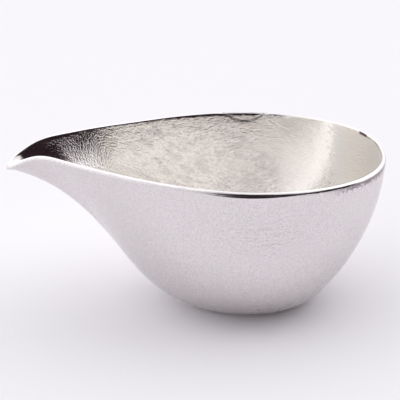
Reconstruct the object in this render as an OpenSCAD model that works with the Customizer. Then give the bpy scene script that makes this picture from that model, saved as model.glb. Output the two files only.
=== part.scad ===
// Katakuchi sake pourer: a cast tin bowl on a flat foot, drawn out at the front into a pouring spout.
// Millimetres. The foot's centre is the origin, +Z is up and the spout points along -X.

/* [Bowl] */
// Length from the back of the rim to the tip of the spout
pourer_l = 160; // [146:1:176]
// Distance from the foot's centre to the back of the rim
back_reach = 58; // [52:1:64]
// Width across the rim where the bowl is widest
bowl_w = 96; // [86:1:106]
// Height of the rim's crest at the back
rim_h = 66; // [60:1:74]
// How much higher the rim would stand at the tip if it did not dip there
front_rise = 5.5; // [0:0.5:9]
// Thickness of the cast wall
wall_t = 1.8; // [1.2:0.1:2.6]

/* [Foot] */
// Length of the flat foot
foot_l = 56; // [48:1:62]
// Width of the flat foot
foot_w = 48; // [42:1:54]
// Thickness of the floor above the foot
floor_t = 2.4; // [1.6:0.1:3.6]
// Height over which the floor turns up into the wall
floor_blend = 6; // [3:0.5:9]

/* [Spout] */
// Length of the beak from its shoulders to the tip
beak_l = 16.5; // [13:0.5:20]
// Width of the rim across the beak's shoulders
beak_w = 22; // [18:0.5:26]
// Angle of the rim's sides at the shoulders, from the line of the spout
shoulder_angle = 32; // [26:1:38]
// How far the rim dips at the tip
tip_dip = 9; // [5:0.5:12]
// Length of rim over which it dips to the tip
dip_l = 20; // [16:1:28]
// How close the dip keeps to the rim: a higher value leaves more of the keel straight
dip_hold = 5.5; // [4:0.5:7]

/* [Lip] */
// Height of the burnished lip below its rounded crest
lip_h = 2.6; // [1.8:0.1:4]
// Height of the lip's rounded crest
crest_h = 1.2; // [0.8:0.1:1.8]

/* [Curves of the wall] */
// Slope of the wall at the foot, under the back
foot_slope_back = 54; // [46:1:60]
// Slope of the wall at the foot, under the sides
foot_slope_side = 31; // [28:1:40]
// Slope of the keel at the foot
foot_slope_keel = 30; // [26:1:36]
// Slope of the wall at the rim, round the back
rim_slope_back = 87; // [82:1:90]
// Slope of the wall at the rim, at the sides
rim_slope_side = 86; // [82:1:90]
// Slope that the keel has at the rim, before the dip
rim_slope_keel = 32; // [28:1:40]
// Height up to which the foot's slopes steer the wall
low_turn_h = 19.5; // [15:0.5:23]
// Height from which the rim's slopes steer the wall
high_turn_h = 35.5; // [31:0.5:40]
// How late the wall's level outline turns from the foot's oval into the rim's teardrop
teardrop_hold = 2.3; // [1.6:0.1:3]
// Fullness of the rim's curve round the back
back_fullness = 0.6; // [0.54:0.01:0.66]
// Fullness of the rim's curve from the sides towards the spout
front_fullness = 0.4; // [0.34:0.01:0.46]
// Fullness of the rim's curve where it runs into the shoulders
shoulder_fullness = 0.16; // [0.1:0.01:0.2]
// Fullness of the rim's curve along the beak
beak_fullness = 0.55; // [0.45:0.01:0.65]
// Roundness of the tip, seen from above
tip_fullness = 0.5; // [0.4:0.01:0.6]

/* [Hidden] */

// Colours of the cast skin and of the burnished lip
cast_tin = [0.80, 0.78, 0.78];
burnished_tin = [0.90, 0.89, 0.88];

// Columns of points round half of the vessel: back, front of the bowl, beak, and half of the spout
back_cols = 14;
front_cols = 18;
beak_cols = 12;
spout_cols = beak_cols + 7;
half_cols = back_cols + front_cols + beak_cols;
cols = 2 * half_cols;

// Rows of points up the wall below the lip, up the lip, over its crest, and rings on the floor
wall_rows = 18;
lip_rows = 2;
crest_steps = 6;
floor_rings = [0.88, 0.75, 0.6, 0.4, 0.2];

// Step for finding directions on the surface, and how late the wall's thickness turns level at the rim
probe = 0.001;
level_hold = 6;
// Fullness that makes a quarter curve an oval's, and the spread of the foot's points below the spout
oval_fullness = 0.5523;
foot_spread = 0.8;

// Corners of the half rim in plan, and the height of the wall's edge below the crest
tip_x = back_reach - pourer_l;
half_w = bowl_w / 2;
edge_h = rim_h - crest_h;
rim_side = [0, half_w];
rim_shoulder = [tip_x + beak_l, beak_w / 2];
rim_tip = [tip_x, 0];
front_reach = -rim_shoulder.x;
shoulder_way = [cos(shoulder_angle), sin(shoulder_angle)];
front_curve = [
    rim_side,
    rim_side - [front_fullness * front_reach, 0],
    rim_shoulder + shoulder_fullness * front_reach * shoulder_way,
    rim_shoulder
];
beak_curve = [
    rim_shoulder,
    rim_shoulder - beak_fullness * beak_l * shoulder_way,
    rim_tip + [0, tip_fullness * beak_w / 2],
    rim_tip
];

function unit(v) = v / norm(v);
function cubic(p, t) =
    pow(1 - t, 3) * p[0] + 3 * t * pow(1 - t, 2) * p[1] + 3 * t * t * (1 - t) * p[2] + pow(t, 3) * p[3];

// Profile of the wall from the foot (t = 0) to the rim (t = 1): its height as a share of the edge's
// height, and its reach from the foot's centre at the back, at the side and along the keel
function rise(t) = cubic([0, low_turn_h, high_turn_h, edge_h], t) / edge_h;
function reach(foot, rim, low_slope, high_slope, t) =
    cubic([foot, foot + low_turn_h / tan(low_slope), rim - (edge_h - high_turn_h) / tan(high_slope), rim], t);
function back_at(t) = reach(foot_l / 2, back_reach, foot_slope_back, rim_slope_back, t);
function side_at(t) = reach(foot_w / 2, half_w, foot_slope_side, rim_slope_side, t);
function keel_at(t) = reach(foot_l / 2, -tip_x, foot_slope_keel, rim_slope_keel, t);

// Level outline of the half vessel at a share t of the profile. Station s runs along it:
// 0 at the back, 1 at the side, 2 at the beak's shoulder and 3 at the tip
function back_plan(s, t) =
    let (full = oval_fullness + (back_fullness - oval_fullness) * t)
    [back_at(t) * cubic([1, 1, full, 0], s), side_at(t) * cubic([0, full, 1, 1], s)];
function front_plan(s, t) =
    let (
        rim = s < 2 ? cubic(front_curve, s - 1) : cubic(beak_curve, s - 2),
        turn = atan2(rim.y, foot_spread * rim.x),
        teardrop = pow(t, teardrop_hold),
        along = (1 - teardrop) * cos(turn) - teardrop * rim.x / tip_x,
        across = (1 - teardrop) * sin(turn) + teardrop * rim.y / half_w
    )
    [keel_at(t) * along, side_at(t) * across];
function plan(s, t) = s < 1 ? back_plan(s, t) : front_plan(s, t);

// Outer side of the wall: the level outline, lifted to its height and dipped towards the tip
function outer(s, t) =
    let (
        at = plan(s, t),
        rim_x = plan(s, 1).x,
        forward = (back_reach - rim_x) / pourer_l,
        dip = max(0, 1 - (rim_x - tip_x) / dip_l),
        share = rise(t),
        z = share * (edge_h + front_rise * pow(forward, 2)) - pow(share, dip_hold) * tip_dip * pow(dip, 2)
    )
    [at.x, at.y, z];

// Share of the profile at which the lip begins, a fixed height below the wall's edge
function lip_share(s) = 1 - lip_h * probe / norm(outer(s, 1) - outer(s, 1 - probe));
function row_share(s, row) =
    row <= wall_rows ? lip_share(s) * row / wall_rows
                     : 1 - (1 - lip_share(s)) * (wall_rows + lip_rows - row) / lip_rows;

// Direction through the wall: square to it low down, and level where it reaches the rim
function through_wall(s, t) =
    let (
        s0 = min(s, 3 - probe),
        t0 = min(t, 1 - probe),
        round_way = outer(s0 + probe, t0) - outer(s0, t0),
        up_way = outer(s0, t0 + probe) - outer(s0, t0),
        rim_way = plan(s0 + probe, 1) - plan(s0, 1),
        square_way = unit(cross(round_way, up_way)),
        level_way = unit([rim_way.y, -rim_way.x, 0])
    )
    unit(square_way + (level_way - square_way) * pow(t, level_hold));

// Inner side of the wall, before and after it is blended into the floor
function inner_raw(s, t) = outer(s, t) - wall_t * through_wall(s, t);
function onto_floor(z) =
    let (h = min(1, max(0, 0.5 + (z - floor_t) / (2 * floor_blend))))
    floor_t + (z - floor_t) * h + floor_blend * h * (1 - h);
function inner(s, t) =
    let (p = inner_raw(s, t))
    [p.x, p.y, onto_floor(p.z)];

// Columns run from the back along the +Y side to the tip, and return along the -Y side
function folded(col) =
    let (c = (col + cols) % cols)
    min(c, cols - c);
function side(col) =
    let (c = (col + cols) % cols)
    c % half_cols == 0 ? 0 : c < half_cols ? 1 : -1;
function station(col) =
    let (c = folded(col))
    c < back_cols ? c / back_cols
    : c < back_cols + front_cols ? 1 + (c - back_cols) / front_cols
    : 2 + (c - back_cols - front_cols) / beak_cols;
function on_side(p, col) = [p.x, p.y * side(col), p.z];

// Closed section of the wall at a column: up the outside, then down the inside
function wall_section(col) =
    let (s = station(col))
    [
        for (row = [0 : wall_rows]) on_side(outer(s, row_share(s, row)), col),
        for (row = [wall_rows : -1 : 0]) on_side(inner(s, row_share(s, row)), col)
    ];

// Closed section of the lip at a column: up the outside, over the crest, then down the inside
function lip_section(col) =
    let (
        s = station(col),
        top_row = wall_rows + lip_rows,
        out_edge = outer(s, 1),
        in_edge = inner(s, 1),
        middle = (out_edge + in_edge) / 2,
        half_edge = (out_edge - in_edge) / 2
    )
    [
        for (row = [wall_rows : top_row]) on_side(outer(s, row_share(s, row)), col),
        for (step = [1 : crest_steps - 1])
            let (a = 180 * step / crest_steps)
            on_side(middle + half_edge * cos(a) + [0, 0, crest_h * sin(a)], col),
        for (row = [top_row : -1 : wall_rows]) on_side(inner(s, row_share(s, row)), col)
    ];

// Two triangles from four corners, split between the first and third, or the second and fourth
function split_13(a, b, c, d) = [[a, b, c], [a, c, d]];
function split_24(a, b, c, d) = [[a, b, d], [b, c, d]];

// Skin between neighbouring sections of n points. The last strip, which closes each section, is split
// so that it lies flat against the strip of the piece that it meets.
function skin(from, to, n) = [
    for (k = [0 : n - 1])
        let (a = from * n + k, b = from * n + (k + 1) % n, c = to * n + (k + 1) % n, d = to * n + k)
        each k < n - 1 ? split_13(a, b, c, d) : split_24(a, b, c, d)
];

// Solid swept through open sections of the wall, with a flat end across the wall at each end
module wall_run(first, last) {
    sections = [for (col = [first : last]) wall_section(col)];
    n = len(sections[0]);
    final = (last - first) * n;
    polyhedron(
        points = [for (section = sections) each section],
        faces = [
            for (c = [0 : last - first - 1]) each skin(c, c + 1, n),
            for (row = [0 : wall_rows - 1])
                each split_13(row, n - 1 - row, n - 2 - row, row + 1),
            for (row = [0 : wall_rows - 1])
                each split_13(final + row, final + row + 1, final + n - 2 - row, final + n - 1 - row)
        ],
        convexity = 10
    );
}

// Foot: flat below, dished above, with an edge that lies face to face with the foot of the wall
module base_disc() {
    last = len(floor_rings);
    foot_points = [for (col = [0 : cols - 1]) on_side(outer(station(col), 0), col)];
    edge_points = [for (col = [0 : cols - 1]) on_side(inner(station(col), 0), col)];
    ring_points = [
        for (q = floor_rings)
            for (col = [0 : cols - 1])
                let (
                    s = station(col),
                    edge = inner_raw(s, 0),
                    way = inner_raw(s, probe) - edge,
                    drop = (1 - q) * norm([edge.x, edge.y]) * way.z / norm([way.x, way.y])
                )
                on_side([q * edge.x, q * edge.y, onto_floor(edge.z - drop)], col)
    ];
    centre = (2 + last) * cols;
    color(cast_tin)
        polyhedron(
            points = concat(foot_points, edge_points, ring_points, [[0, 0, floor_t]]),
            faces = [
                [for (col = [0 : cols - 1]) col],
                for (col = [0 : cols - 1])
                    let (next = (col + 1) % cols)
                    each split_13(col, cols + col, cols + next, next),
                for (ring = [1 : last])
                    for (col = [0 : cols - 1])
                        let (next = (col + 1) % cols, a = ring * cols, b = a + cols)
                        each split_13(a + col, b + col, b + next, a + next),
                for (col = [0 : cols - 1])
                    [(1 + last) * cols + col, centre, (1 + last) * cols + (col + 1) % cols]
            ],
            convexity = 4
        );
}

// Bowl: the wall from the foot up to the lip, open at the front where the spout leaves it
module bowl_wall() {
    color(cast_tin)
        wall_run(half_cols + spout_cols - cols, half_cols - spout_cols);
}

// Spout: the front of the wall, drawn out over its keel into a beak
module pouring_spout() {
    color(cast_tin)
        wall_run(half_cols - spout_cols, half_cols + spout_cols);
}

// Lip: the burnished band with a rounded crest that runs round the bowl and the spout
module rim_lip() {
    sections = [for (col = [0 : cols - 1]) lip_section(col)];
    n = len(sections[0]);
    color(burnished_tin)
        polyhedron(
            points = [for (section = sections) each section],
            faces = [for (c = [0 : cols - 1]) each skin(c, (c + 1) % cols, n)],
            convexity = 10
        );
}

base_disc();
bowl_wall();
pouring_spout();
rim_lip();
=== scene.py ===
import math

import bpy
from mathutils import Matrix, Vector
from mathutils.kdtree import KDTree


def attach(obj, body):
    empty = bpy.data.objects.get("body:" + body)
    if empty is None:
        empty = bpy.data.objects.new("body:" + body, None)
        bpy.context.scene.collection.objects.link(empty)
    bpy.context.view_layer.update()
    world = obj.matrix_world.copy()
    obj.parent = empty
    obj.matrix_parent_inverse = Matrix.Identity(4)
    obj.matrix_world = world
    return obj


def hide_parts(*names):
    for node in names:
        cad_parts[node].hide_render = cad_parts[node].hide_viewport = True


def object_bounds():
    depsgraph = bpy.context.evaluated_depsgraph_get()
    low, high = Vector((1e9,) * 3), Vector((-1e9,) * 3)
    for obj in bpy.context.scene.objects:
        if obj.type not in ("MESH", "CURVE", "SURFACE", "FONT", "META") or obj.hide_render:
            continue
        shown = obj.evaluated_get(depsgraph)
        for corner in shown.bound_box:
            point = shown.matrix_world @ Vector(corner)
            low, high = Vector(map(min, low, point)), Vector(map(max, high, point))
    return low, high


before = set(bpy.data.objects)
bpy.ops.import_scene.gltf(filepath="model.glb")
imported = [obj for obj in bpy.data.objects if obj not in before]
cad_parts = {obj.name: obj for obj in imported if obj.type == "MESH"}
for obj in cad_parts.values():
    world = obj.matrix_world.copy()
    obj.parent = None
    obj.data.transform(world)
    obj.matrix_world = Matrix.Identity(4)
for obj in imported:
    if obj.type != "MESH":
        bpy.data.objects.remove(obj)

cad_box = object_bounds()


# Casting
# The real pourer is one piece of tin, poured into a sand mould and dressed with a file and a scraper.
# Its four regions are brought together here as one skin, smoothed and dressed, and parted again below,
# so that no seam shows between them.
REGIONS = ("base_disc", "bowl_wall", "pouring_spout", "rim_lip")
SAME_SPOT = 1e-6
QUAD_ANGLE = math.radians(60)
FLAT_DOWN = -0.99
FOOT_EDGE_R = 0.0015
FOOT_EDGE_STEPS = 2
SMOOTH_LEVELS = 2


def pick_faces(piece, test):
    """Leaves the piece in edit mode, with only the faces that pass the test selected."""
    bpy.ops.object.mode_set(mode="EDIT")
    bpy.ops.mesh.select_mode(type="FACE")
    bpy.ops.mesh.select_all(action="DESELECT")
    bpy.ops.object.mode_set(mode="OBJECT")
    for face in piece.data.polygons:
        face.select = test(face)
    bpy.ops.object.mode_set(mode="EDIT")


bpy.ops.object.select_all(action="DESELECT")
for region in REGIONS:
    skin = bpy.data.objects.new(region + "_skin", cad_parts[region].data.copy())
    bpy.context.scene.collection.objects.link(skin)
    skin.data.materials.clear()
    skin.data.materials.append(bpy.data.materials.new(region))
    skin.select_set(True)
    bpy.context.view_layer.objects.active = skin
bpy.ops.object.join()
casting = bpy.context.object

# The faces on which two regions meet lie on each other, and both go
spots = KDTree(len(casting.data.polygons))
for face in casting.data.polygons:
    spots.insert(face.center, face.index)
spots.balance()
pick_faces(casting, lambda face: len(spots.find_range(face.center, SAME_SPOT)) > 1)
bpy.ops.mesh.delete(type="FACE")
bpy.ops.mesh.select_all(action="SELECT")
bpy.ops.mesh.remove_doubles(threshold=SAME_SPOT)
bpy.ops.mesh.customdata_custom_splitnormals_clear()
bpy.ops.mesh.tris_convert_to_quads(face_threshold=QUAD_ANGLE, shape_threshold=QUAD_ANGLE)
pick_faces(casting, lambda face: face.normal.z < FLAT_DOWN and face.center.z < SAME_SPOT)
bpy.ops.mesh.dissolve_faces()
bpy.ops.mesh.region_to_loop()
bpy.ops.mesh.bevel(offset=FOOT_EDGE_R, segments=FOOT_EDGE_STEPS, affect="EDGES")
bpy.ops.object.mode_set(mode="OBJECT")

smoothing = casting.modifiers.new("smoothing", "SUBSURF")
smoothing.levels = smoothing.render_levels = SMOOTH_LEVELS
bpy.ops.object.modifier_apply(modifier=smoothing.name)

# Inner and outer side of the wall, told apart by a line above the middle of the hollow, in metres
HOLLOW_X = (-0.085, 0.010)
HOLLOW_Z = 0.075


def inward(vert):
    """Sideways way from the skin to the line."""
    return Vector((min(HOLLOW_X[1], max(HOLLOW_X[0], vert.co.x)) - vert.co.x, -vert.co.y, 0.0))


def faces_inwards(vert):
    """True on the inner side of the wall, where the skin looks towards the line."""
    return vert.normal.dot(inward(vert) + Vector((0.0, 0.0, HOLLOW_Z - vert.co.z))) > 0


def outer_share(vert):
    """1 where the skin looks straight out from the hollow, and 0 where it looks straight into it."""
    return 0.5 - 0.5 * vert.normal.dot(inward(vert).normalized())


inside = casting.data.attributes.new("inside", "FLOAT", "POINT")
inside.data.foreach_set("value", [float(faces_inwards(vert)) for vert in casting.data.vertices])

# Crest of the rim, in mm, as the source makes it: it rises towards the front and dips at the tip
BACK_X = 1000.0 * cad_box[1].x
TIP_X = 1000.0 * cad_box[0].x
RIM_H = 66.0
FRONT_RISE = 5.5
TIP_DIP = 9.0
TIP_DIP_L = 20.0


def below_crest(place):
    """Depth of a place below the crest of the rim, in mm."""
    x = 1000.0 * place.x
    forward = (BACK_X - x) / (BACK_X - TIP_X)
    dip = max(0.0, 1.0 - (x - TIP_X) / TIP_DIP_L)
    return RIM_H + FRONT_RISE * forward**2 - TIP_DIP * dip**2 - 1000.0 * place.z


def ease(value, low, high):
    """0 below low, 1 above high, and smooth between them."""
    part = min(1.0, max(0.0, (value - low) / (high - low)))
    return part * part * (3.0 - 2.0 * part)


def press(name, share, axis, amount, pattern=None):
    """Moves the skin along an axis or its normals, by the amount in metres times each vertex's share."""
    group = casting.vertex_groups.new(name=name)
    for vert in casting.data.vertices:
        group.add([vert.index], share(vert), "REPLACE")
    push = casting.modifiers.new(name, "DISPLACE")
    push.vertex_group = group.name
    push.direction = axis
    push.strength = amount
    push.mid_level = 0.0
    if pattern:
        push.mid_level = 0.5
        push.texture = pattern
        push.texture_coords = "LOCAL"
    bpy.ops.object.modifier_apply(modifier=push.name)


# Top of the lip, which the file left sloping outwards
BEVEL_DROP = 0.0008
BEVEL_FADE = (1.4, 5.0)


def bevel_share(vert):
    return outer_share(vert) * (1.0 - ease(below_crest(vert.co), *BEVEL_FADE))


press("bevel", bevel_share, "Z", -BEVEL_DROP)

# Pouring edge, where the tip of the channel is filled
TIP_FILL_X = (-101.0, -93.0)
TIP_FILL_DEPTH = 5.0
TIP_FILL = 0.0036


def tip_share(vert):
    near_tip = 1.0 - ease(1000.0 * vert.co.x, *TIP_FILL_X)
    depth = min(1.0, max(0.0, below_crest(vert.co) / TIP_FILL_DEPTH))
    return near_tip * depth * float(faces_inwards(vert))


press("pouring_edge", tip_share, "Z", TIP_FILL)

# Shallow crescent inside the far rim, where the scraper slipped
CRESCENT_X = 2.0
CRESCENT_REACH = 14.0
CRESCENT_DEPTH = 5.4
CRESCENT_EDGE = 2.0
CRESCENT_CUT = 0.00038


def crescent_share(vert):
    if vert.co.y < 0.0 or not faces_inwards(vert):
        return 0.0
    across = (1000.0 * vert.co.x - CRESCENT_X) / CRESCENT_REACH
    depth = CRESCENT_DEPTH * max(0.0, 1.0 - across**2)**2
    return ease(depth - below_crest(vert.co), 0.0, CRESCENT_EDGE)


press("crescent", crescent_share, "NORMAL", -CRESCENT_CUT)

# Inner edge of the far rim, which the file broke
CHAMFER_START_X = (-55.0, -25.0)
CHAMFER_END_X = (16.0, 26.0)
CHAMFER_DEPTH = (0.7, 2.0)
CHAMFER_CUT = 0.00022


def chamfer_share(vert):
    if vert.co.y < 0.0:
        return 0.0
    x = 1000.0 * vert.co.x
    run = ease(x, *CHAMFER_START_X) * (1.0 - ease(x, *CHAMFER_END_X))
    return run * (1.0 - outer_share(vert)) * (1.0 - ease(below_crest(vert.co), *CHAMFER_DEPTH))


press("chamfer", chamfer_share, "Y", CHAMFER_CUT)

# Rim of the foot, which rises a little off the table
FOOT_R = (28.0, 24.0)
FOOT_LEVEL = (0.3, 0.9)
FOOT_BLEND_Z = (2.0, 7.0)
FOOT_LIFT = 0.0011


def foot_share(vert):
    out = math.hypot(1000.0 * vert.co.x / FOOT_R[0], 1000.0 * vert.co.y / FOOT_R[1])
    return ease(out, *FOOT_LEVEL) * (1.0 - ease(1000.0 * vert.co.z, *FOOT_BLEND_Z))


press("foot_rim", foot_share, "Z", FOOT_LIFT)

# Outer edge of the near rim, where the file left a narrow flat
FACET_X = -4.5
FACET_REACH = 20.0
FACET_DEPTH = (1.4, 2.6)
FACET_CUT = 0.00038
FACET_LEAST = 0.01


def facet_share(vert):
    across = (1000.0 * vert.co.x - FACET_X) / FACET_REACH
    lens = 1.0 - across**2
    if vert.co.y > 0.0 or lens < FACET_LEAST:
        return 0.0
    top, bottom = FACET_DEPTH
    return outer_share(vert) * lens * (1.0 - ease(below_crest(vert.co), top, top + lens * (bottom - top)))


press("facet", facet_share, "Y", FACET_CUT)

# Far side of the rim, which stands a little higher than the near one, most of all along the spout.
# The finish of the lip follows the rim, so each place keeps the depth that it had before.
FAR_Y = (0.0, 8.0)
FAR_DEPTH = (2.0, 30.0)
FAR_SPOUT_X = (-70.0, -40.0)
FAR_BOWL = 0.45
FAR_RISE = 0.0011


def far_share(vert):
    along = 1.0 - (1.0 - FAR_BOWL) * ease(1000.0 * vert.co.x, *FAR_SPOUT_X)
    return along * ease(1000.0 * vert.co.y, *FAR_Y) * (1.0 - ease(below_crest(vert.co), *FAR_DEPTH))


lip_depth = casting.data.attributes.new("lip_depth", "FLOAT", "POINT")
lip_depth.data.foreach_set("value", [below_crest(vert.co) for vert in casting.data.vertices])
press("far_rim", far_share, "Z", FAR_RISE)

# Slight waves that the sand left all over, but not on the foot
WAVE_L = 0.011
WAVE_H = 0.00012
WAVE_Z = (0.0015, 0.008)
sand_waves = bpy.data.textures.new("sand_waves", "CLOUDS")
sand_waves.noise_scale = WAVE_L
press("waves", lambda vert: ease(vert.co.z, *WAVE_Z), "NORMAL", WAVE_H, sand_waves)
casting.vertex_groups.clear()
bpy.ops.object.shade_smooth()

skin_normal = casting.data.attributes.new("skin_normal", "FLOAT_VECTOR", "POINT")
skin_normal.data.foreach_set("vector", [c for vert in casting.data.vertices for c in vert.normal])
bpy.ops.object.mode_set(mode="EDIT")
bpy.ops.mesh.select_all(action="SELECT")
bpy.ops.mesh.separate(type="MATERIAL")
bpy.ops.object.mode_set(mode="OBJECT")
parted = {piece.material_slots[0].material.name: piece for piece in bpy.context.selected_objects}


def finish_region(region, name, tin):
    piece = parted[region]
    piece.name = piece.data.name = name
    bpy.ops.object.select_all(action="DESELECT")
    piece.select_set(True)
    bpy.context.view_layer.objects.active = piece
    bpy.ops.object.mode_set(mode="EDIT")
    bpy.ops.mesh.select_mode(type="EDGE")
    bpy.ops.mesh.select_all(action="DESELECT")
    bpy.ops.mesh.select_non_manifold(
        use_wire=False, use_multi_face=False, use_non_contiguous=False, use_verts=False)
    bpy.ops.mesh.bridge_edge_loops()
    bpy.ops.mesh.select_all(action="SELECT")
    bpy.ops.mesh.normals_make_consistent(inside=False)
    bpy.ops.object.mode_set(mode="OBJECT")
    normals = [tuple(entry.vector) for entry in piece.data.attributes["skin_normal"].data]
    piece.data.normals_split_custom_set_from_vertices(normals)
    piece.data.attributes.remove(piece.data.attributes["skin_normal"])
    piece.data.materials[0] = tin
    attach(piece, "root")
    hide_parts(region)


# Base disc
# The flat oval foot that the pourer stands on, with the dished floor above it. It is cast in one with the
# wall. Its finish is the tin's own, which the wall and the spout share.
class Socket:
    """A socket in a shader. Sums on it add Math nodes, and node() adds any other node."""

    def __init__(self, tree, socket=None):
        self.tree = tree
        self.socket = socket

    def node(self, kind, settings, sockets, output=0):
        made = self.tree.nodes.new("ShaderNode" + kind)
        for name, value in settings.items():
            setattr(made, name, value)
        for name, value in sockets.items():
            if isinstance(value, Socket):
                self.tree.links.new(value.socket, made.inputs[name])
            else:
                made.inputs[name].default_value = value
        return Socket(self.tree, made.outputs[output])

    def output(self, name):
        return Socket(self.tree, self.socket.node.outputs[name])

    def sums(self, operation, first, second):
        return self.node("Math", {"operation": operation}, {0: first, 1: second})

    def __add__(self, other):
        return self.sums("ADD", self, other)

    def __radd__(self, other):
        return self.sums("ADD", other, self)

    def __sub__(self, other):
        return self.sums("SUBTRACT", self, other)

    def __rsub__(self, other):
        return self.sums("SUBTRACT", other, self)

    def __mul__(self, other):
        return self.sums("MULTIPLY", self, other)

    def __rmul__(self, other):
        return self.sums("MULTIPLY", other, self)

    def __truediv__(self, other):
        return self.sums("DIVIDE", self, other)

    def __pow__(self, other):
        return self.sums("POWER", self, other)

    def larger(self, other):
        return self.sums("MAXIMUM", self, other)

    def smaller(self, other):
        return self.sums("MINIMUM", self, other)

    def step(self, low, high):
        """0 where the value is below low, 1 where it is above high, and smooth between them."""
        settings = {"interpolation_type": "SMOOTHSTEP"}
        return self.node("MapRange", settings, {"Value": self, "From Min": low, "From Max": high})

    def band(self, rise, fall):
        """0 before the rise, 1 between it and the fall, and 0 after the fall."""
        return self.step(*rise) * (1.0 - self.step(*fall))

    def blend(self, first, second):
        """Mix of two colours, by this share of the second. Mix has its colours on sockets 6 and 7."""
        return self.node("Mix", {"data_type": "RGBA"}, {"Factor": self, 6: first, 7: second}, 2)

    def noise(self, scale, detail):
        return self.node("TexNoise", {}, {"Vector": self, "Scale": scale, "Detail": detail}, "Fac")


OUTER_TIN = (0.80, 0.768, 0.775, 1.0)
# Painted shade for the outside, in the hollows of its grain and towards the foot
PIT_AND_LOW_WALL_SHADE_TIN = (0.69, 0.648, 0.66, 1.0)
INNER_TIN = (0.915, 0.89, 0.86, 1.0)
# Painted shade in the scraper's grooves, and the darker tone of the blotches inside
GROOVE_SHADE_AND_BLOTCH_TIN = (0.75, 0.71, 0.70, 1.0)
# Painted shade for the channel of the beak
BEAK_SHADE_TIN = (0.46, 0.42, 0.425, 1.0)
# Painted light for the back end of the inside
PAINTED_LIGHT_TIN = (0.98, 0.965, 0.925, 1.0)
PATINA_TIN = (1.0, 0.965, 0.88, 1.0)
BURNISHED_TIN = (0.97, 0.955, 0.95, 1.0)
STAIN = (0.17, 0.13, 0.15, 1.0)

# Places are in mm, and scales of noise are per mm, along the wall and up it
AXIS_X = (-85.0, 10.0)
AXIS_EASE = 6.0
AXIS_REACH = 40.0
NEAR_SIDE = (-5.0, 5.0)
FAR_SIDE = (0.0, 5.0)

RUB_SCALE = (0.22, 0.22)
RUB_DEPTH = 2.4
RUB_ON_FACET = 1.6
RUB_EDGE = (-0.2, 0.7)
SHINE_DEPTH = 0.9
SHINE_EDGE = (0.2, 0.6)

GRAIN_SCALE = 1.5
GRAIN_H = 0.16
SPECKLE_SCALE = 2.4
SPECKLE_OUTER_H = 0.03
SPECKLE_INNER_H = 0.02
SWAY_SCALE = 0.11
RIPPLE_SCALE = (0.17, 0.75)
RIPPLE_SWAY = 1.5
RIPPLE_H = 0.14
STROKE_SCALE = (0.48, 1.0)
STROKE_SWAY = 3.0
STROKE_H = 0.44
FLECK_SCALE = 1.45
FLECK_H = 0.18
SCRAPED_X = (-75.0, -35.0)
SCRAPED_LESS_X = (14.0, 21.0)
SCRAPED_LESS = 0.7
FLECKED_X = ((-94.0, -74.0), (-74.0, -38.0))
LIP_CALM = 0.85
BUMP_HEIGHT = 0.001

OUTER_ROUGH = 0.27
LIP_ROUGH = 0.14
BEAK_ROUGH = 0.10
PATCH_SCALE = 0.05
PATCH_ROUGH = 0.08
BOWL_ROUGH = 0.08
BOWL_ROUGH_X = (-75.0, -45.0)
WIDE_ROUGH = 0.05
WIDE_ROUGH_X = (0.0, 18.0)
SATIN_ROUGH = 0.27
SATIN_X = (38.0, 44.0)
SATIN_RAG = 14.0

PIT_EDGE = (0.3, 0.65)
LOW_WALL_SHADE_Z = (0.0, 22.0)
GROOVE_EDGE = (0.3, 0.55)
GROOVE_LEAST = 0.35
GROOVE_MORE = 0.65
GROOVE_MORE_X = (0.0, 10.0)
GROOVE_LESS_Z = (44.0, 56.0)
BLOTCH_SCALE = (0.16, 0.36)
BLOTCH_EDGE = (0.46, 0.62)
BLOTCH_DARK = 0.9
BLOTCH_LESS = 0.35
BLOTCH_LESS_X = (-40.0, 0.0)
BEAK_START_X = (-89.0, -80.0)
BEAK_END_X = (-80.0, -60.0)
BEAK_RAG = 20.0
# Where the painted light falls inside: towards the back end, and more so higher up
PAINTED_LIGHT_X = (0.0, 34.0)
PAINTED_LIGHT_LEAN = 0.8
PAINTED_LIGHT_Z = 50.0
PATINA = 0.75
PATINA_X = ((43.0, 49.0), (50.0, 55.0))

RAG_SCALE = 1.1
SKIN_DARK = 0.8
SKIN_TOP = (1.1, 1.6)
SKIN_BOTTOM = (2.2, 3.8)
SKIN_RAG = 8.0
SKIN_X = (26.0, 42.0)
SKIN_Y = (-22.0, -6.0)
NICK_X = 51.5
NICK_R = 1.3
NICK_EDGE = (0.4, 1.6)
NICK_DEPTH = ((0.5, 0.7), (1.5, 2.0))
SLIP_DARK = 0.6
SLIP_ABOVE_EDGE = 1.1
SLIP_EDGE = (0.05, 0.7)
SLIP_ENDS = (0.45, 0.6)
SLIP_RAG = (0.3, 0.6)


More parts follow.
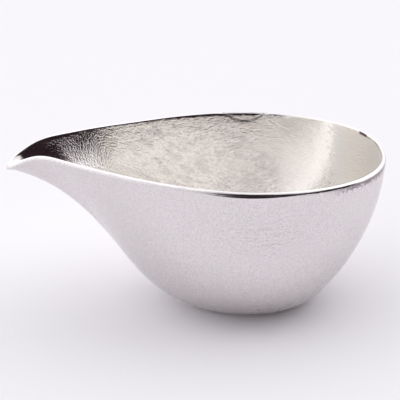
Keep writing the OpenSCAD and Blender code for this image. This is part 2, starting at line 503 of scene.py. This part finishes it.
def tin_finish(name):
    """Sand-cast tin: grainy outside, scraped along the wall inside, and rubbed bright at the lip."""
    material = bpy.data.materials.new(name)
    material.use_nodes = True
    tree = material.node_tree
    start = Socket(tree)
    place = start.node("TexCoord", {}, {}, "Object")
    mm = start.node("VectorMath", {"operation": "SCALE"}, {0: place, "Scale": 1000.0})
    split = start.node("SeparateXYZ", {}, {"Vector": mm})
    x, y, z = (split.output(axis) for axis in "XYZ")
    hollow = start.node("Attribute", {"attribute_name": "inside"}, {}, "Fac")
    depth = start.node("Attribute", {"attribute_name": "lip_depth"}, {}, "Fac")

    # Place along the wall and up it, measured from a line along the middle of the hollow
    axis_x = x.smaller(AXIS_X[1]).larger(AXIS_X[0])
    off_x = x - axis_x
    reach = (off_x * off_x + y * y + AXIS_EASE**2) ** 0.5
    along_x = axis_x + AXIS_REACH * off_x / reach
    along_y = AXIS_REACH * y / reach
    up = z + reach

    def on_wall(scale, shift=0.0):
        along, upward = scale
        sockets = {"X": along * along_x, "Y": along * along_y, "Z": upward * up + shift}
        return start.node("CombineXYZ", {}, sockets)

    # The lip, rubbed bright down to an uneven depth, and further on the file's flat
    rub = on_wall(RUB_SCALE).noise(1.0, 3.0)
    facet_off = (x - FACET_X) / FACET_REACH
    facet = (1.0 - facet_off * facet_off).larger(0.0) * (1.0 - y.step(*NEAR_SIDE))
    bright = 1.0 - (depth - RUB_DEPTH * rub - RUB_ON_FACET * facet).step(*RUB_EDGE)
    shine = 1.0 - (depth - SHINE_DEPTH * rub).step(*SHINE_EDGE)

    # Sand grain outside, and the scraper's short strokes and the flecks of the beak inside
    sway = mm.noise(SWAY_SCALE, 2.0) - 0.5
    grain = mm.noise(GRAIN_SCALE, 4.0)
    speckle = mm.noise(SPECKLE_SCALE, 2.0) - 0.5
    ripples = on_wall(RIPPLE_SCALE, RIPPLE_SWAY * sway).noise(1.0, 2.0) - 0.5
    strokes = on_wall(STROKE_SCALE, STROKE_SWAY * sway).noise(1.0, 3.0)
    flecks = mm.noise(FLECK_SCALE, 1.0) - 0.5
    scraped = x.step(*SCRAPED_X) * (1.0 - SCRAPED_LESS * x.step(*SCRAPED_LESS_X))
    flecked = x.band(*FLECKED_X)
    outer_h = GRAIN_H * (grain - 0.5) + SPECKLE_OUTER_H * speckle + RIPPLE_H * ripples
    inner_h = STROKE_H * scraped * (strokes - 0.5) + SPECKLE_INNER_H * speckle + FLECK_H * flecked * flecks
    height = (outer_h + (inner_h - outer_h) * hollow) * (1.0 - LIP_CALM * bright)
    relief = start.node("Bump", {}, {"Height": height, "Distance": BUMP_HEIGHT, "Strength": 1.0}, "Normal")

    # Satin outside and at the back end inside, and smoother between them
    patches = mm.noise(PATCH_SCALE, 4.0) - 0.5
    inner_rough = BEAK_ROUGH + BOWL_ROUGH * x.step(*BOWL_ROUGH_X) + WIDE_ROUGH * x.step(*WIDE_ROUGH_X)
    inner_rough = inner_rough + SATIN_ROUGH * (x + SATIN_RAG * (strokes - 0.5)).step(*SATIN_X)
    rough = OUTER_ROUGH + (inner_rough - OUTER_ROUGH) * hollow + PATCH_ROUGH * patches
    rough = rough + (LIP_ROUGH - rough) * bright

    # Colour of the outside with its painted shade, of the scraped inside with painted shade in its grooves
    # and beak and painted light at its back end, and of the lip
    # Painted shade: the outside is darker in the hollows of its grain and low on the wall near the foot
    painted_pit_and_low_shade = (1.0 - grain.step(*PIT_EDGE)).larger(1.0 - z.step(*LOW_WALL_SHADE_Z))
    outer = painted_pit_and_low_shade.blend(OUTER_TIN, PIT_AND_LOW_WALL_SHADE_TIN)
    # Painted shade in the scraper's grooves, stronger from the middle towards the back and lower down; the
    # blotches are a darker tone of the tin
    groove_shade_amount = GROOVE_LEAST + GROOVE_MORE * x.step(*GROOVE_MORE_X) * (1.0 - z.step(*GROOVE_LESS_Z))
    painted_groove_shade = (1.0 - strokes.step(*GROOVE_EDGE)) * scraped * groove_shade_amount
    blotches = on_wall(BLOTCH_SCALE).noise(1.0, 4.0).step(*BLOTCH_EDGE)
    blotches = (BLOTCH_DARK - BLOTCH_LESS * x.step(*BLOTCH_LESS_X)) * scraped * blotches
    inner = painted_groove_shade.larger(blotches).blend(INNER_TIN, GROOVE_SHADE_AND_BLOTCH_TIN)
    # Painted shade: the channel of the beak is darkened, deepening the dark reflection of the room in it
    beak = x.step(*BEAK_START_X) * (1.0 - (x + BEAK_RAG * patches).step(*BEAK_END_X))
    inner = beak.blend(inner, BEAK_SHADE_TIN)
    # Painted light: the inside is paler towards the back end, and more so higher up
    inner = (x + PAINTED_LIGHT_LEAN * (z - PAINTED_LIGHT_Z)).step(*PAINTED_LIGHT_X).blend(inner, PAINTED_LIGHT_TIN)
    inner = (PATINA * x.band(*PATINA_X)).blend(inner, PATINA_TIN)
    clean = shine.blend(hollow.blend(outer, inner), BURNISHED_TIN)

    # Dark cast skin left under the near lip towards the back
    ragged = mm.noise(RAG_SCALE, 2.0)
    skin = depth.step(*SKIN_TOP) * (1.0 - (depth + SKIN_RAG * (ragged - 0.5)).step(*SKIN_BOTTOM))
    skin = SKIN_DARK * skin * x.step(*SKIN_X) * (1.0 - y.step(*SKIN_Y)) * (1.0 - hollow)

    # Dark nick in the far lip, and the dark line at the bottom of the crescent
    far_inside = y.step(*FAR_SIDE) * hollow
    nick_off = (x - NICK_X) / NICK_R
    nick = (1.0 - (nick_off * nick_off).step(*NICK_EDGE)) * far_inside * depth.band(*NICK_DEPTH)
    slip_off = (x - CRESCENT_X) / CRESCENT_REACH
    slip = (1.0 - slip_off * slip_off).larger(0.0)
    slip_height = depth - CRESCENT_DEPTH * slip * slip + SLIP_ABOVE_EDGE
    slip_line = (1.0 - (slip_height * slip_height).step(*SLIP_EDGE)) * slip.step(*SLIP_ENDS) * far_inside
    stained = skin.larger(nick).larger(SLIP_DARK * slip_line * ragged.step(*SLIP_RAG))
    colour = stained.blend(clean, STAIN)

    shader = tree.nodes["Principled BSDF"]
    shader.inputs["Metallic"].default_value = 1.0
    tree.links.new(colour.socket, shader.inputs["Base Color"])
    tree.links.new(rough.socket, shader.inputs["Roughness"])
    tree.links.new(relief.socket, shader.inputs["Normal"])
    return material


cast_tin = tin_finish("sand_cast_tin")
finish_region("base_disc", "cast_foot", cast_tin)


# Bowl
# The wall of the bowl, from the foot up to the lip and open at the front. It is tin as it left the sand
# outside, and scraped inside.
finish_region("bowl_wall", "cast_bowl", cast_tin)


# Spout
# The front of the wall, drawn out over its keel into a beak for pouring. It is cast in one with the bowl,
# and its channel is flecked where the scraper didn't reach, and darkened with painted shade.
finish_region("pouring_spout", "cast_spout", cast_tin)


# Lip
# The rounded edge round the bowl and the spout, filed and then rubbed bright with a burnisher.
# It is the same tin, but has a slot of its own, so that its finish can be changed alone.
burnished_tin = tin_finish("burnished_lip_tin")
finish_region("rim_lip", "burnished_lip", burnished_tin)
for region in REGIONS:
    bpy.data.materials.remove(bpy.data.materials[region])


# Table
# A plain table top under white paper, which takes the pourer's shadow. A slight glow, which only the camera
# and the metal see, keeps the shadow pale.
TABLE_REACH = 8.0
TABLE_COLOUR = (0.955, 0.945, 0.965, 1.0)
TABLE_ROUGH = 0.9
TABLE_GLOSS = 0.1
TABLE_GLOW = 0.04
bpy.ops.object.select_all(action="DESELECT")
bpy.ops.mesh.primitive_plane_add(size=TABLE_REACH)
table = bpy.context.object
table.name = "table"
paper = bpy.data.materials.new("paper")
paper.use_nodes = True
sheet = paper.node_tree
fibre = sheet.nodes["Principled BSDF"]
fibre.inputs["Base Color"].default_value = TABLE_COLOUR
fibre.inputs["Roughness"].default_value = TABLE_ROUGH
fibre.inputs["Specular IOR Level"].default_value = TABLE_GLOSS
start = Socket(sheet)
ray = start.node("LightPath", {}, {}, "Is Camera Ray")
seen = ray.larger(ray.output("Is Glossy Ray").larger(ray.output("Is Transmission Ray")))
glow = start.node("Emission", {}, {"Color": TABLE_COLOUR, "Strength": 1.0})
matt = Socket(sheet, fibre.outputs["BSDF"])
surface = start.node("MixShader", {}, {0: TABLE_GLOW * seen, 1: matt, 2: glow})
sheet.links.new(surface.socket, sheet.nodes["Material Output"].inputs["Surface"])
table.data.materials.append(paper)


# Light
# A white tent, lit from outside through its roof, its back and both sides, with a brighter panel at the
# right, towards the back. It is open at the front, where the dark room shows in the metal.
TENT_COLOUR = (1.0, 0.985, 1.01, 1.0)
TENT_LEVEL = 0.80
ROOF_GAIN = 0.22
LEFT_GAIN = 0.10
SIDE_GAIN = 0.38
BACK_GAIN = 0.2
PANEL_AZIMUTH = math.radians(115)
PANEL_ELEVATION = math.radians(38)
PANEL_EDGE = (math.radians(45), math.radians(15))
PANEL_GAIN = 0.35
ROOM_COLOUR = (0.03, 0.016, 0.022, 1.0)
ROOM_AZIMUTHS = (math.radians(4), math.radians(32), math.radians(60))
ROOM_ELEVATION = math.radians(19)
ROOM_EDGE = (math.radians(31), math.radians(16))


def direction(azimuth, elevation):
    """Unit vector that points away from the pourer. Azimuth 0 is towards -Y, and 90 degrees towards +X."""
    level = math.cos(elevation)
    return Vector((math.sin(azimuth) * level, -math.cos(azimuth) * level, math.sin(elevation)))


world = bpy.data.worlds.new("tent")
bpy.context.scene.world = world
world.use_nodes = True
sky = world.node_tree
start = Socket(sky)
way = start.node("TexCoord", {}, {}, "Generated")


def nearness(azimuth, elevation, edge):
    """1 inside a round patch of the tent, 0 outside it, and smooth across its edge."""
    middle = direction(azimuth, elevation)
    cosine = start.node("VectorMath", {"operation": "DOT_PRODUCT"}, {0: way, 1: middle}, "Value")
    return cosine.step(math.cos(edge[0]), math.cos(edge[1]))


backward = start.node("SeparateXYZ", {}, {"Vector": way}, "Y")
rightward = backward.output("X")
tent = TENT_LEVEL + BACK_GAIN * backward + ROOF_GAIN * backward.output("Z")
tent = tent + SIDE_GAIN * rightward * rightward - LEFT_GAIN * rightward
tent = tent + PANEL_GAIN * nearness(PANEL_AZIMUTH, PANEL_ELEVATION, PANEL_EDGE)
left, middle, right = (nearness(azimuth, ROOM_ELEVATION, ROOM_EDGE) for azimuth in ROOM_AZIMUTHS)
colour = left.larger(middle).larger(right).blend(TENT_COLOUR, ROOM_COLOUR)
sky.links.new(colour.socket, sky.nodes["Background"].inputs["Color"])
sky.links.new(tent.socket, sky.nodes["Background"].inputs["Strength"])


# Camera
# The photograph's own viewpoint, with a long lens from a little above the rim. Its place was found by
# fitting the outline of the pourer.
CAMERA_TARGET = Vector((-0.0205366, 0.0, 0.0444713))
CAMERA_DISTANCE = 0.75
CAMERA_AZIMUTH = math.radians(-3.3798)
CAMERA_ELEVATION = math.radians(22.5445)
CAMERA_LENS = 158.54
camera = bpy.data.objects.new("camera", bpy.data.cameras.new("camera"))
bpy.context.scene.collection.objects.link(camera)
back = direction(CAMERA_AZIMUTH, CAMERA_ELEVATION)
camera.location = CAMERA_TARGET + CAMERA_DISTANCE * back
camera.rotation_euler = (-back).to_track_quat("-Z", "Y").to_euler()
camera.data.lens = CAMERA_LENS
bpy.context.scene.camera = camera
bpy.context.scene.view_settings.view_transform = "Standard"
